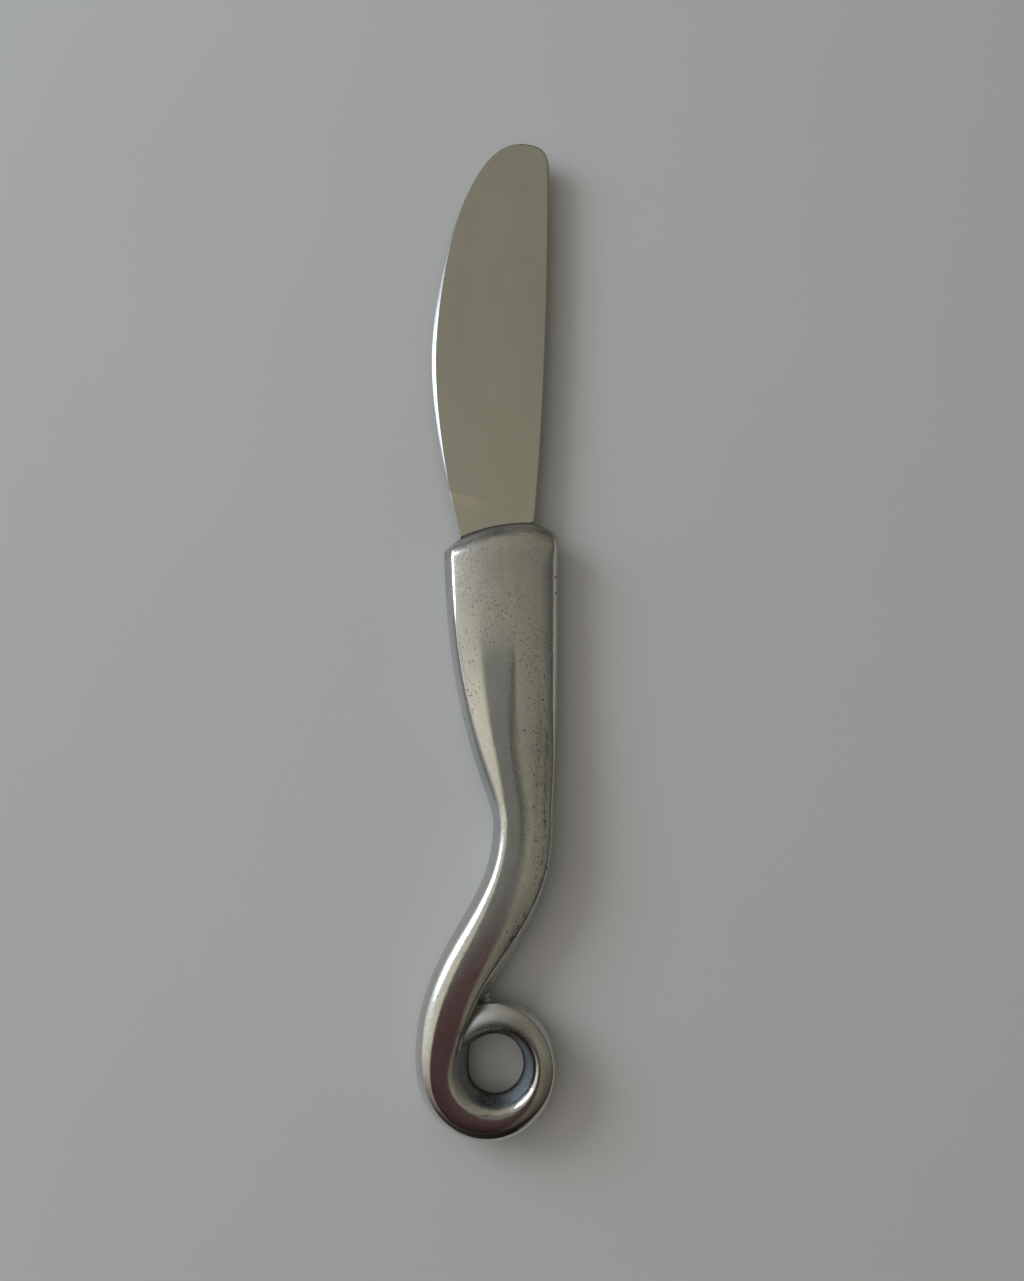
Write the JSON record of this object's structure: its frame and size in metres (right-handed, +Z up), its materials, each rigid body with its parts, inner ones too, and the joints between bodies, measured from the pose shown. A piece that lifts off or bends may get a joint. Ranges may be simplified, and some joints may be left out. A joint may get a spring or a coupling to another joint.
{
  "type": "cheese knife",
  "caption": "Cheese knife with a flat, round-tipped polished steel blade bonded into a cast aluminium handle that tapers through an S-curve into a rolled hanging loop.",
  "frame": {"origin": "under the middle of the knife's bounding box, on the surface that the knife lies on", "axes": "+Y from the loop to the blade's tip, +Z up through the knife's thickness, +X to the spine's side"},
  "size_m": [0.0262, 0.1948, 0.009],
  "materials": {
    "blade_steel": "mirror-polished stainless steel with fine wipe marks",
    "handle_aluminium": "hand-polished sand casting, with small pits and lengthwise polishing marks",
    "bond_epoxy": "matt filled epoxy"
  },
  "bodies": {
    "root": {"blade": "blade_steel", "handle": "handle_aluminium", "tang_bond": "bond_epoxy"}
  },
  "joints": []
}
